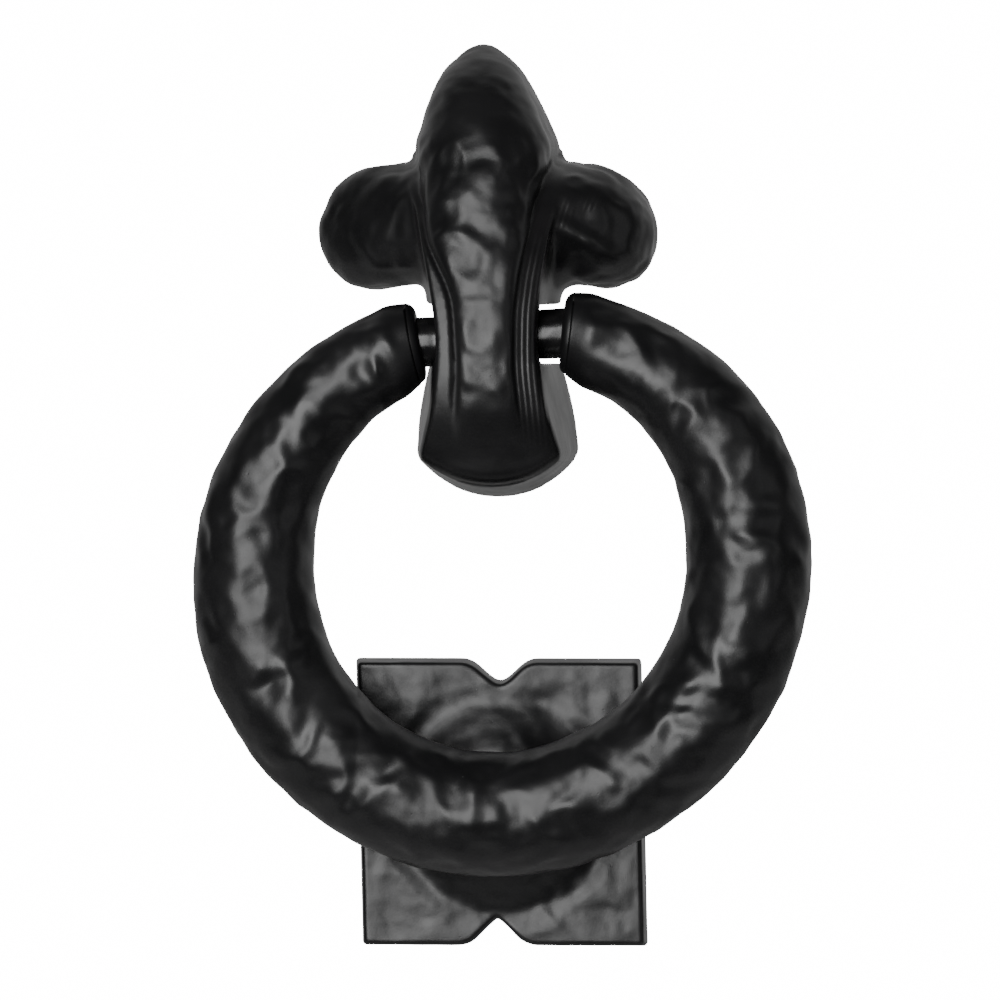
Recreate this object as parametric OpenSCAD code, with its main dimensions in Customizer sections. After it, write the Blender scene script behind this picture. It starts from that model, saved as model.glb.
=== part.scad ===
// Fleur-de-lis ring door knocker: a head casting, a swinging ring on a pin, and a strike plate.
// Frame: the door's face is the plane Y = 0, the knocker stands out towards -Y, and +Z is up.
// The origin is on the door's face, midway between the head's two studs and level with the pin.

/* [Door and fixings] */
// Thickness of the door that the studs pass through
door_t = 44; // [35:1:60]
// Diameter of the studs' plain shanks
stud_d = 6; // [5:0.5:6]
// Height of each head stud above or below the pin
stud_z = 22; // [21:0.5:22]
// Outside diameter of the door washers
washer_d = 18; // [14:1:20]
// Width of the door nuts across their flats
nut_af = 10; // [9:0.5:11]

/* [Ring] */
// Outside diameter of the ring
ring_od = 125; // [122:1:128]
// Diameter of the ring's bar below its middle
bar_d = 25; // [23:0.5:26]
// Diameter of the ring's bar at its two ends
end_d = 17.2; // [16:0.2:17.6]
// Clear gap between the ring's two ends
end_gap = 28; // [27.6:0.2:30]

/* [Pivot] */
// Diameter of the pivot pin
pin_d = 10; // [9:0.5:10.5]
// Distance from the door to the pin's axis
pin_out = 25; // [24.5:0.5:26]
// How far the pin goes into each end of the ring
socket_deep = 8; // [6:0.5:8]
// Spare height above the pin in the head's slot
slot_play = 1.2; // [0.6:0.1:1.5]

/* [Head] */
// Height of the petal's tip above the pin
tip_z = 59.2; // [57:0.2:62]
// Width of the petal where it is widest
petal_w = 29.6; // [28:0.2:30]
// Width of the stem that bridges the slot
stem_w = 20; // [19:0.2:21]
// Distance from the door to the front of the foot
head_out = 40; // [39:0.5:42]
// Span of the two side lobes from end to end
lobe_span = 68.4; // [65:0.2:70]
// Height of the side lobes
lobe_h = 24.4; // [22:0.4:25]
// Height of the lobes' middle above the pin
lobe_z = 22.2; // [21.8:0.2:23]
// Width of the foot where it is widest
foot_w = 32.8; // [32:0.2:33.4]
// Depth of the foot's lower edge below the pin
foot_low = 33; // [32:0.5:34]

/* [Strike plate] */
// Width and height of the strike plate at the door
plate_w = 58.6; // [57:0.2:60]
// Thickness of the strike plate
plate_t = 7; // [6:0.5:8]
// Width of each V notch at the plate's edge
notch_w = 12; // [10:0.5:14]
// Depth of each V notch
notch_deep = 6; // [4:0.5:7]
// Diameter of the raised striking dome
dome_d = 43; // [40:1:44]
// Depth of the plate's middle below the pin
plate_z = 96; // [95:0.5:97]
// Gap between the hanging ring and the dome
rest_gap = 0.4; // [0.3:0.1:0.8]

/* [Hidden] */
cast_black = "#17181a";
bright_steel = "#a9acb0";
fine = 96;
past = 2; // how far a cut runs past the surface that it opens

// Ring
bar_r = bar_d / 2;
ring_r = ring_od / 2 - bar_r; // of the bar's centre line
ring_mid_z = -45.5;
end_x = end_gap / 2;
end_ring_r = norm([end_x, ring_mid_z]);
end_turn = 90 + atan2(-ring_mid_z, end_x); // from the ring's bottom to one end
taper_from = 85; // where the bar starts to thin, in degrees from the bottom
level_from = 110; // where the bar starts to turn level with the pin
end_round = 1.6;
bar_sides = 24;
ring_steps = 60;
end_steps = 3; // rows that round the edge of each end

// Pivot
pin_r = pin_d / 2;
pin_end = end_x + socket_deep;
pin_fit = 0.1; // between the pin and the slot's lower wall, front wall and keeper
slot_low = -pin_r - pin_fit;
slot_high = pin_r + slot_play;
slot_front = pin_out + pin_r + pin_fit;
keeper_front = pin_out - pin_r - pin_fit;

// Keeper strap and its screws
keeper_t = 2.5;
keeper_w = 11;
keeper_low = -17.5;
keeper_high = 18;
keeper_screw_z = [-12, 12.5];
channel_play = 0.3;
screw_r = 2; // M4
screw_deep = 9;
screw_head_r = 3.6;
screw_head_t = 2.4;
screw_slot = [0.9, 1.1]; // width and depth of the driver's slot

// Head
petal_half = petal_w / 2;
stem_half = stem_w / 2;
draft = 5.7; // of the castings' sides, in degrees
shoulder_half = 13;
shoulder_out = 30;
shoulder_high = 14;
foot_top_half = 13.2;
foot_corner_z = -25; // where the foot is widest
foot_mid_z = -12; // the height that the foot narrows towards
foot_bow = [0.3, 4]; // a point on each bowed side, in from and up from the corner
foot_in = 0.6; // how far the top of the foot's front is behind the stem's front
foot_lean = 10; // of the foot's front, in degrees
lobe_out = 19;
wall = 5;
boss_r = 6.5;
boss_deep = 24;
screw_boss_wall = 3;
foot_web = 10; // solid metal above the hollow in the foot

// Height, half width at the door, distance out from the door and squareness, from the tip down
head_profile = [
    [tip_z, 0.8, 5, 2.2],
    [tip_z - 1.6, 3.6, 10.5, 2.2],
    [tip_z - 4.6, 6.8, 16.5, 2.2],
    [tip_z - 9.6, 10.4, 23, 2.3],
    [tip_z - 14.6, 12.6, 27.5, 2.3],
    [tip_z - 20, petal_half * 0.98, head_out - 9.5, 2.4],
    [tip_z - 26, petal_half, head_out - 7.2, 2.4],
    [tip_z - 33, petal_half * 0.94, head_out - 5.4, 2.6],
    [tip_z - 40, petal_half * 0.85, head_out - 3.8, 3],
    [tip_z - 48, stem_half * 1.14, head_out - 2.2, 4],
    [3, stem_half * 1.08, head_out - 0.8, 5],
    [-6, stem_half * 1.08, head_out, 5],
    [-14, stem_half * 1.16, head_out - 0.6, 5],
    [-22, stem_half * 1.24, head_out - 2.2, 5],
    [-28, stem_half, head_out - 4.2, 4]
];
// The same, for the hollow behind the petal
hollow_profile = [
    [tip_z - 11, 1.5, 8, 2.2],
    [tip_z - 15, 5, 14, 2.2],
    [tip_z - 20, 8.5, 19, 2.2],
    [tip_z - 26, petal_half - wall, 22, 2.4],
    [tip_z - 33, petal_half - wall, 23.5, 2.6],
    [tip_z - 40, petal_half - wall - 1, 25, 3],
    [shoulder_high, stem_half - wall + 2, 26, 3]
];

// Strike plate
ring_back = pin_out - bar_r;
dome_top = ring_back - rest_gap;
dome_r = dome_d / 2;
dome_h = dome_top - plate_t;
dome_steps = 16;

// Door fixings
stud_grip = 8; // length of thread inside each casting
shank_r = stud_d / 2;
thread_r = shank_r - 0.1;
hole_mouth = 0.5; // countersink of the studs' holes
stud_places = [stud_z, -stud_z, -plate_z];
washer_t = 1.6;
washer_hole_r = shank_r + 0.2;
nut_t = 5;
stud_past_nut = 3;
thread_from = door_t - 1;
stud_end = door_t + washer_t + nut_t + stud_past_nut;

function ease(t) = let (u = min(1, max(0, t))) u * u * (3 - 2 * u);

// Outline of a casting at one row of its profile: a drafted superellipse, closed past the door's face
function slice(row, sides) =
    let (z = row[0], half = row[1], out = row[2], power = row[3], narrow = min(0.5, out * tan(draft) / half))
    concat(
        [[-half, past, z]],
        [
            for (i = [0 : sides])
                let (c = cos(180 * i / sides), s = pow(sin(180 * i / sides), 2 / power))
                [-half * sign(c) * pow(abs(c), 2 / power) * (1 - narrow * s), -out * s, z]
        ],
        [[half, past, z]]
    );

// Catmull-Rom steps between the profile's rows
function spline(a, b, c, d, t) = 0.5 * (2 * b + (c - a) * t + (2 * a - 5 * b + 4 * c - d) * t * t
    + (3 * b - a - 3 * c + d) * t * t * t);

function smooth_rows(rows, steps) = concat(
    [
        for (i = [0 : len(rows) - 2])
            for (k = [0 : steps - 1])
                spline(rows[max(0, i - 1)], rows[i], rows[i + 1], rows[min(len(rows) - 1, i + 2)], k / steps)
    ],
    [rows[len(rows) - 1]]
);

// Joins a list of rings, each with the same number of points, into one closed solid
module skin(rings) {
    n = len(rings[0]);
    points = [for (ring = rings) for (p = ring) p];
    sides = [
        for (i = [0 : len(rings) - 2])
            for (j = [0 : n - 1])
                let (a = i * n + j, b = i * n + (j + 1) % n)
                [a, b, b + n, a + n]
    ];
    first = [for (j = [n - 1 : -1 : 0]) j];
    last = [for (j = [0 : n - 1]) (len(rings) - 1) * n + j];
    polyhedron(points, concat([first], sides, [last]), convexity = 6);
}

module casting_loft(rows, sides) {
    skin([for (row = rows) slice(row, sides)]);
}

// Cylinder from one distance behind the door's face to another; distances in front are negative
module along_y(r, from, to, z, sides = fine) {
    translate([0, from, z])
        rotate([-90, 0, 0])
            cylinder(r = r, h = to - from, $fn = sides);
}

module lobes() {
    r = lobe_h / 2;
    x = lobe_span / 2 - r;
    hull() {
        for (side = [-1, 1]) {
            translate([side * x, r - lobe_out, lobe_z])
                sphere(r = r, $fn = 28);
            translate([side * x, past, lobe_z])
                rotate([90, 0, 0])
                    cylinder(r = r, h = past, $fn = 28);
        }
    }
}

// Outline of the foot at the door: slanting sides and a round lower edge
module foot_outline() {
    half = foot_w / 2;
    sag = foot_low + foot_corner_z;
    arc_r = (half * half + sag * sag) / (2 * sag);
    arc_half = asin(half / arc_r);
    polygon(concat(
        [[foot_top_half, slot_low], [half - foot_bow[0], foot_corner_z + foot_bow[1]]],
        [
            for (i = [0 : 12])
                let (t = arc_half - 2 * arc_half * i / 12)
                [arc_r * sin(t), arc_r - foot_low - arc_r * cos(t)]
        ],
        [[foot_bow[0] - half, foot_corner_z + foot_bow[1]], [-foot_top_half, slot_low]]
    ));
}

// The foot narrows towards its front, which leans back towards the door at its lower edge
module foot() {
    narrow = 1 - head_out * tan(draft) / (foot_w / 2);
    difference() {
        translate([0, past, foot_mid_z])
            rotate([90, 0, 0])
                linear_extrude(height = head_out + past, scale = narrow)
                    translate([0, -foot_mid_z])
                        foot_outline();
        translate([-foot_w, -head_out + foot_in, slot_low])
            rotate([foot_lean, 0, 0])
                translate([0, -head_out, -2 * foot_low])
                    cube([2 * foot_w, head_out, 3 * foot_low]);
    }
}

module shoulder() {
    translate([-shoulder_half, -shoulder_out, slot_high - past])
        cube([2 * shoulder_half, shoulder_out + past, shoulder_high - slot_high + past]);
}

module head_hollows() {
    lobe_hollow_r = lobe_h / 2 - wall;
    foot_hollow_half = foot_top_half - wall - 1;
    casting_loft(smooth_rows(hollow_profile, 3), 12);
    for (side = [-1, 1])
        translate([side * lobe_span / 4, past, lobe_z])
            rotate([90, 0, 0])
                cylinder(r1 = lobe_hollow_r + 1, r2 = lobe_hollow_r - 1, h = lobe_out - wall, $fn = 48);
    translate([-foot_hollow_half, -head_out + 2 * wall, -foot_low + wall + 1])
        cube([2 * foot_hollow_half, head_out, foot_low - wall - foot_web]);
}

// Solid metal that the studs and the keeper's screws bite into
module head_bosses() {
    for (z = [-stud_z, stud_z])
        along_y(boss_r, -boss_deep, 0, z);
    for (z = keeper_screw_z)
        along_y(screw_r + screw_boss_wall, -keeper_front - screw_deep - 1, -keeper_front, z);
}

// Tapped hole for one stud, with a countersunk mouth at the door
module stud_hole(z) {
    along_y(thread_r, -stud_grip, past, z);
    translate([0, past, z])
        rotate([90, 0, 0])
            cylinder(r1 = thread_r + hole_mouth + past, r2 = thread_r, h = hole_mouth + past, $fn = fine);
}

module head_casting() {
    color(cast_black)
        difference() {
            union() {
                difference() {
                    union() {
                        casting_loft(smooth_rows(head_profile, 3), 18);
                        lobes();
                        shoulder();
                        foot();
                    }
                    head_hollows();
                }
                head_bosses();
            }
            // the door's face
            translate([-lobe_span, 0, -foot_low - past])
                cube([2 * lobe_span, head_out, tip_z + foot_low + 2 * past]);
            // slot for the pin, open at the back
            translate([-lobe_span, -slot_front, slot_low])
                cube([2 * lobe_span, slot_front + past, slot_high - slot_low]);
            // channel for the keeper
            translate([-keeper_w / 2 - channel_play, -keeper_front, keeper_low - channel_play])
                cube([keeper_w + 2 * channel_play, keeper_front + past,
                    keeper_high - keeper_low + 2 * channel_play]);
            for (z = keeper_screw_z)
                along_y(screw_r, -keeper_front - screw_deep, past, z);
            for (z = [-stud_z, stud_z])
                stud_hole(z);
        }
}

// One cross-section of the ring's bar, at a turn in degrees from the ring's bottom
function bar_section(turn, shrink = 0) =
    let (
        side = turn < 0 ? -1 : 1,
        away = abs(turn),
        r_mid = ring_r - (ring_r - end_ring_r) * ease((away - level_from) / (end_turn - level_from)),
        r = bar_r - (bar_r - end_d / 2) * ease((away - taper_from) / (end_turn - 5 - taper_from)) - shrink,
        lean = away + (180 - end_turn) * ease((away - level_from) / (end_turn - level_from))
    )
    [
        for (j = [0 : bar_sides - 1])
            let (t = -360 * j / bar_sides, out = r * cos(t))
            [
                side * (r_mid * sin(away) + out * sin(lean)),
                -pin_out + r * sin(t),
                ring_mid_z - r_mid * cos(away) - out * cos(lean)
            ]
    ];

// A row of the rounded edge at one end; t runs from 0 at the bar's side to 90 at its flat end
function end_section(side, t) = [
    for (p = bar_section(side * end_turn, end_round * (1 - cos(t))))
        [side * (end_x + end_round * (1 - sin(t))), p[1], p[2]]
];

function ring_sections() =
    let (
        last_turn = end_turn - 3,
        edge = [for (i = [0 : end_steps]) 90 * i / end_steps],
        turns = [for (i = [0 : ring_steps]) last_turn * (2 * i / ring_steps - 1)]
    )
    concat(
        [for (i = [end_steps : -1 : 0]) end_section(-1, edge[i])],
        [for (t = turns) bar_section(t)],
        [for (i = [0 : end_steps]) end_section(1, edge[i])]
    );

module knocker_ring() {
    color(cast_black)
        difference() {
            skin(ring_sections());
            translate([-pin_end, -pin_out, 0])
                rotate([0, 90, 0])
                    cylinder(r = pin_r, h = 2 * pin_end, $fn = fine);
        }
}

module pivot_pin() {
    color(bright_steel)
        translate([-pin_end, -pin_out, 0])
            rotate([0, 90, 0])
                cylinder(r = pin_r, h = 2 * pin_end, $fn = fine);
}

module keeper_strap() {
    color(bright_steel)
        difference() {
            translate([-keeper_w / 2, -keeper_front, keeper_low])
                cube([keeper_w, keeper_t, keeper_high - keeper_low]);
            for (z = keeper_screw_z)
                along_y(screw_r + 0.2, -keeper_front - past, 0, z);
        }
}

module keeper_screws() {
    seat = -keeper_front + keeper_t;
    color(bright_steel)
        for (z = keeper_screw_z)
            difference() {
                union() {
                    along_y(screw_r, -keeper_front - screw_deep + 1, seat, z);
                    along_y(screw_head_r, seat, seat + screw_head_t, z);
                }
                translate([-screw_head_r - past, seat + screw_head_t - screw_slot[1], z - screw_slot[0] / 2])
                    cube([2 * (screw_head_r + past), screw_slot[1] + past, screw_slot[0]]);
            }
}

module plate_blank() {
    narrow = 1 - plate_t * tan(draft) / (plate_w / 2);
    half = plate_w / 2;
    translate([0, 0, -plate_z])
        rotate([90, 0, 0])
            linear_extrude(height = plate_t, scale = narrow)
                polygon([
                    [-half, -half], [-notch_w / 2, -half], [0, notch_deep - half], [notch_w / 2, -half],
                    [half, -half], [half, half], [notch_w / 2, half], [0, half - notch_deep],
                    [-notch_w / 2, half], [-half, half]
                ]);
}

// Half profile of the striking dome, which runs out softly round its foot
module dome_profile() {
    polygon(concat(
        [[0, -past], [dome_r, -past]],
        [
            for (i = [dome_steps : -1 : 0])
                [dome_r * i / dome_steps, dome_h * (1 - ease(i / dome_steps))]
        ]
    ));
}

module strike_plate() {
    color(cast_black)
        difference() {
            union() {
                plate_blank();
                translate([0, -plate_t, -plate_z])
                    rotate([90, 0, 0])
                        rotate_extrude($fn = fine)
                            dome_profile();
            }
            stud_hole(-plate_z);
        }
}

module door_studs() {
    color(bright_steel)
        for (z = stud_places) {
            along_y(thread_r, -stud_grip, 0, z);
            along_y(shank_r, 0, thread_from, z);
            along_y(thread_r, thread_from, stud_end, z);
        }
}

module door_washers() {
    color(bright_steel)
        for (z = stud_places)
            difference() {
                along_y(washer_d / 2, door_t, door_t + washer_t, z);
                along_y(washer_hole_r, door_t - past, door_t + washer_t + past, z);
            }
}

module door_nuts() {
    color(bright_steel)
        for (z = stud_places)
            difference() {
                along_y(nut_af / sqrt(3), door_t + washer_t, door_t + washer_t + nut_t, z, 6);
                along_y(thread_r, door_t, stud_end, z);
            }
}

head_casting();
knocker_ring();
pivot_pin();
keeper_strap();
keeper_screws();
strike_plate();
door_studs();
door_washers();
door_nuts();
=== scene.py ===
"""Looks of a cast black ring door knocker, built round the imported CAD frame. Lengths are in mm up to the mesh."""

import math

import bpy
import numpy as np
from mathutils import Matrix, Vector


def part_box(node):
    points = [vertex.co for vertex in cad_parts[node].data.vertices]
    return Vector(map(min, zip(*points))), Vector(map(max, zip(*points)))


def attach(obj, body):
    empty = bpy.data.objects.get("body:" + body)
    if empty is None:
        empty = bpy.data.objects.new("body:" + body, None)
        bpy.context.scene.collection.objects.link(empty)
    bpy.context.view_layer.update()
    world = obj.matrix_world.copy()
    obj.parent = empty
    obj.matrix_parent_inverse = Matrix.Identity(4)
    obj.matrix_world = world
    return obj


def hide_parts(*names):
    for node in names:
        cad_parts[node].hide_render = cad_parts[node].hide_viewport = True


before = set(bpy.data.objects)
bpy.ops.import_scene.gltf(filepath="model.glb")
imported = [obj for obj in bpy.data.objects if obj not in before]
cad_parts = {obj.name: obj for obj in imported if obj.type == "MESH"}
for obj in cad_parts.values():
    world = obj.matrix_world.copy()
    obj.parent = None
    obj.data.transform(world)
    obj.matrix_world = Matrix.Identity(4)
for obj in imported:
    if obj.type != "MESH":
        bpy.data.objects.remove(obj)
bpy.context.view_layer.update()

MM = 0.001
FIXED = "fixed_castings"
SWINGING = "ring"


def node_box(node):
    """Lowest and highest corner of a CAD node, in mm."""
    low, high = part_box(node)
    return np.array(low) / MM, np.array(high) / MM


HEAD_LOW, HEAD_HIGH = node_box("head_casting")
RING_LOW, RING_HIGH = node_box("knocker_ring")
PIN_LOW, PIN_HIGH = node_box("pivot_pin")
PLATE_LOW, PLATE_HIGH = node_box("strike_plate")
STRAP_LOW, STRAP_HIGH = node_box("keeper_strap")
SCREW_LOW, SCREW_HIGH = node_box("keeper_screws")
STUD_LOW, STUD_HIGH = node_box("door_studs")
WASHER_LOW, WASHER_HIGH = node_box("door_washers")
NUT_LOW, NUT_HIGH = node_box("door_nuts")

PIN_R = (PIN_HIGH[2] - PIN_LOW[2]) / 2
PIN_OUT = -(PIN_HIGH[1] + PIN_LOW[1]) / 2  # from the door to the pin's axis
PLATE_Z = (PLATE_LOW[2] + PLATE_HIGH[2]) / 2
STUD_Z = 22  # height of each head stud above or below the pin
DRAFT = math.tan(math.radians(5.7))  # side slope that lets a casting leave its mould
# A different random pattern for each piece
HEAD_SEED, RING_SEED, PLATE_SEED, PIN_SEED = 7, 31, 53, 5


# ---- shapes as fields: negative inside, in mm ----


def smoothstep(low, high, t):
    """0 below low, 1 above high, and a smooth rise between them."""
    u = np.clip((t - low) / (high - low), 0, 1)
    return u * u * (3 - 2 * u)


def soft_min(a, b, k):
    """Union with a fillet of about k."""
    h = np.maximum(k - np.abs(a - b), 0) / k
    return np.minimum(a, b) - h * h * k / 4


def soft_max(a, b, k):
    """Intersection with a rounded edge of about k."""
    return -soft_min(-a, -b, k)


def curve(t, points):
    """Smooth curve through (position, value) points, given in rising order."""
    keys = np.array([p[0] for p in points], float)
    values = np.array([p[1] for p in points], float)
    slopes = np.gradient(values, keys)
    i = np.clip(np.searchsorted(keys, t) - 1, 0, len(keys) - 2)
    width = keys[i + 1] - keys[i]
    u = np.clip((t - keys[i]) / width, 0, 1)
    rest = 1 - u
    return (
        (1 + 2 * u) * rest * rest * values[i]
        + u * rest * rest * width * slopes[i]
        + u * u * (3 - 2 * u) * values[i + 1]
        - u * u * rest * width * slopes[i + 1]
    )


def hump(t, centre, width):
    """A bell curve with a height of 1."""
    return np.exp(-(((t - centre) / width) ** 2))


def directions(count):
    """Unit vectors spread evenly over a sphere."""
    i = np.arange(count) + 0.5
    height = 1 - 2 * i / count
    turn = math.pi * (1 + math.sqrt(5)) * i
    flat = np.sqrt(1 - height * height)
    return np.column_stack([flat * np.cos(turn), flat * np.sin(turn), height])


GRADIENTS = directions(64)
NOISE_GAIN = 1.6  # brings the highest lumps to about 1
# Large numbers that scatter the grid's cells
CELL_PRIMES = (73856093, 19349663, 83492791)
SEED_PRIME = 2654435761
MIXER = 1274126177
LOW_32_BITS = 0xFFFFFFFF


def scramble(cell, seed):
    """Number of a gradient for each cell of a grid."""
    x, y, z = cell.astype(np.int64).T
    h = x * CELL_PRIMES[0] ^ y * CELL_PRIMES[1] ^ z * CELL_PRIMES[2] ^ seed * SEED_PRIME
    h = ((h ^ (h >> 13)) * MIXER) & LOW_32_BITS
    return ((h ^ (h >> 15)) & (len(GRADIENTS) - 1)).astype(int)


def noise(p, size, seed):
    """Gradient noise from about -1 to 1; size is the width of one lump."""
    q = p / size
    cell = np.floor(q)
    f = q - cell
    u = f * f * f * (f * (f * 6 - 15) + 10)
    total = np.zeros(len(p))
    for corner in np.ndindex(2, 2, 2):
        c = np.array(corner)
        weight = np.prod(np.where(c == 1, u, 1 - u), axis=1)
        total += weight * np.sum((f - c) * GRADIENTS[scramble(cell + c, seed)], axis=1)
    return NOISE_GAIN * total


def ridged(height, softness):
    """Turns noise into dents with ridges between them; a larger softness rounds the ridges."""
    return 1 - 2.2 * np.sqrt(height**2 + softness)


def hammered(p, seed):
    """Relief of hand-hammered cast iron: wide dents with soft ridges between them, from about -1 to 1."""
    warp = np.column_stack([noise(p, 15, seed + k) for k in (1, 2, 3)])
    q = p + 3 * warp
    broad = noise(q, 15, seed)
    dents = ridged(noise(q, 10, seed + 4), 0.035)
    lumps = noise(q, 5.6, seed + 5)
    small = noise(p, 2.8, seed + 6)
    wrinkles = ridged(noise(q, 6.5, seed + 7), 0.002)
    creased = smoothstep(0.05, 0.45, noise(p, 17, seed + 8))
    return 0.48 * broad + 0.4 * dents + 0.34 * lumps + 0.07 * small + 0.13 * creased * wrinkles


# ---- meshes ----

PROBE = 0.12  # how far to each side a field is felt for its slope
TINY = 1e-9  # keeps divisions away from zero
TIP_R = 0.01  # radius of the small ring of points that closes a round end


def sampled(field, low, step, count):
    """The field's values on a grid, one slab at a time to save memory."""
    xs, ys, zs = (low[k] + step * np.arange(count[k]) for k in range(3))
    across, up = (g.ravel() for g in np.meshgrid(ys, zs, indexing="ij"))
    values = np.empty(count)
    for i, x in enumerate(xs):
        slab = np.column_stack([np.full(across.size, x), across, up])
        values[i] = field(slab).reshape(count[1], count[2])
    return values


def crossed_edges(values, low, step, axis):
    """Grid edges along an axis that cross the surface: start, crossing point and whether they lead inwards."""
    inside = values < 0
    first, second = [slice(1, -1)] * 3, [slice(1, -1)] * 3
    first[axis], second[axis] = slice(0, -1), slice(1, None)
    edge = np.argwhere(inside[tuple(first)] != inside[tuple(second)])
    edge += [0 if k == axis else 1 for k in range(3)]
    ahead = edge.copy()
    ahead[:, axis] += 1
    v0, v1 = values[tuple(edge.T)], values[tuple(ahead.T)]
    point = low + step * edge
    point[:, axis] += step * v0 / (v0 - v1)
    return edge, point, v0 > 0


def surface_of(field, low, high, step):
    """Vertices, quads and normals of a field's zero surface, by surface nets."""
    low, high = np.array(low, float) - 2 * step, np.array(high, float) + 2 * step
    count = np.ceil((high - low) / step).astype(int) + 1
    values = sampled(field, low, step, count)
    cells = count - 1
    total = int(np.prod(cells))
    sums = np.zeros((total, 3))
    hits = np.zeros(total)
    quads = []
    for axis in range(3):
        b, c = (axis + 1) % 3, (axis + 2) % 3
        edge, point, inwards = crossed_edges(values, low, step, axis)
        corners = []
        for back_b, back_c in ((0, 0), (1, 0), (1, 1), (0, 1)):
            cell = edge.copy()
            cell[:, b] -= back_b
            cell[:, c] -= back_c
            index = np.ravel_multi_index(tuple(cell.T), tuple(cells))
            corners.append(index)
            hits += np.bincount(index, minlength=total)
            for k in range(3):
                sums[:, k] += np.bincount(index, weights=point[:, k], minlength=total)
        quad = np.column_stack(corners)
        quad[inwards] = quad[inwards][:, ::-1]
        quads.append(quad)
    used = np.nonzero(hits)[0]
    number = np.full(total, -1)
    number[used] = np.arange(len(used))
    vertices = sums[used] / hits[used, None]
    for _ in range(2):
        vertices = onto_surface(field, vertices, step)
    return vertices, number[np.vstack(quads)], unit(gradient_of(field, vertices))


def unit(vectors):
    """The vectors, each at a length of 1."""
    return vectors / np.maximum(np.linalg.norm(vectors, axis=1, keepdims=True), TINY)


def gradient_of(field, p):
    """How fast a field rises along x, y and z."""
    rise = np.column_stack([field(p + PROBE * e) - field(p - PROBE * e) for e in np.eye(3)])
    return rise / (2 * PROBE)


def onto_surface(field, p, step):
    """Moves points down the slope to the surface, by at most half a grid step."""
    slope = gradient_of(field, p)
    steepness = np.maximum(np.sum(slope * slope, axis=1), 0.05)
    move = -(field(p) / steepness)[:, None] * slope
    length = np.linalg.norm(move, axis=1, keepdims=True)
    return p + move * np.minimum(1, 0.5 * step / np.maximum(length, TINY))


def grid_quads(rows, sides):
    """Quads of a tube with that many rows, closed round its sides."""
    i, j = np.meshgrid(np.arange(rows - 1), np.arange(sides), indexing="ij")
    i, j = i.ravel(), j.ravel()
    k = (j + 1) % sides
    return np.column_stack([i * sides + j, i * sides + k, (i + 1) * sides + k, (i + 1) * sides + j])


def vertex_normals(vertices, quads):
    """Normals of a mesh from its own faces."""
    a, b, c, d = (vertices[quads[:, k]] for k in range(4))
    face = np.cross(c - a, d - b)
    total = np.zeros_like(vertices)
    for k in range(4):
        for axis in range(3):
            total[:, axis] += np.bincount(quads[:, k], weights=face[:, axis], minlength=len(vertices))
    return unit(total)


def add_piece(name, vertices, quads, material, node, body, layers=None):
    """Makes the Blender object, hides the CAD part it replaces and puts it on its body."""
    mesh = bpy.data.meshes.new(name)
    mesh.vertices.add(len(vertices))
    mesh.vertices.foreach_set("co", (np.asarray(vertices) * MM).ravel())
    mesh.loops.add(quads.size)
    mesh.loops.foreach_set("vertex_index", quads.ravel().astype(np.int32))
    mesh.polygons.add(len(quads))
    mesh.polygons.foreach_set("loop_start", np.arange(0, quads.size, 4, dtype=np.int32))
    mesh.update(calc_edges=True)
    mesh.validate()
    mesh.shade_smooth()
    for layer, values in (layers or {}).items():
        attribute = mesh.attributes.new(layer, "FLOAT", "POINT")
        attribute.data.foreach_set("value", np.asarray(values, np.float32))
    mesh.materials.append(material)
    piece = bpy.data.objects.new(name, mesh)
    bpy.context.scene.collection.objects.link(piece)
    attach(piece, body)
    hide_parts(node)
    return piece


# ---- materials ----


def new_material(name, slot, colour, roughness, metallic=0.0):
    """A Principled material with its node tree, its shader and coordinates in mm."""
    material = bpy.data.materials.new(name)
    material.use_nodes = True
    material["slot"] = slot
    nodes = material.node_tree.nodes
    shader = nodes["Principled BSDF"]
    shader.inputs["Base Color"].default_value = (*colour, 1)
    shader.inputs["Roughness"].default_value = roughness
    shader.inputs["Metallic"].default_value = metallic
    place = nodes.new("ShaderNodeTexCoord")
    scale = nodes.new("ShaderNodeVectorMath")
    scale.operation = "SCALE"
    scale.inputs["Scale"].default_value = 1 / MM
    material.node_tree.links.new(place.outputs["Object"], scale.inputs[0])
    return material, shader, scale.outputs["Vector"]


def noise_node(material, place, size, detail=2.0, roughness=0.5):
    """Shader noise whose lumps are about that many mm wide."""
    node = material.node_tree.nodes.new("ShaderNodeTexNoise")
    node.inputs["Scale"].default_value = 1 / size
    node.inputs["Detail"].default_value = detail
    node.inputs["Roughness"].default_value = roughness
    material.node_tree.links.new(place, node.inputs["Vector"])
    return node.outputs["Fac"]


def spot_node(material, place, size, radius):
    """1 at the middle of scattered round spots, falling to 0 at their radius."""
    tree = material.node_tree
    node = tree.nodes.new("ShaderNodeTexVoronoi")
    node.inputs["Scale"].default_value = 1 / size
    tree.links.new(place, node.inputs["Vector"])
    return ranged(material, node.outputs["Distance"], (0, radius / size), (1, 0))


def ranged(material, value, source, target):
    """The value moved from one range to another, and kept inside it."""
    tree = material.node_tree
    node = tree.nodes.new("ShaderNodeMapRange")
    node.inputs["From Min"].default_value, node.inputs["From Max"].default_value = source
    node.inputs["To Min"].default_value, node.inputs["To Max"].default_value = target
    tree.links.new(value, node.inputs["Value"])
    return node.outputs["Result"]


def combined(material, operation, a, b):
    """One arithmetic step; a and b are sockets or numbers."""
    tree = material.node_tree
    node = tree.nodes.new("ShaderNodeMath")
    node.operation = operation
    for socket, value in zip(node.inputs, (a, b)):
        if isinstance(value, (int, float)):
            socket.default_value = value
        else:
            tree.links.new(value, socket)
    return node.outputs["Value"]


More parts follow.
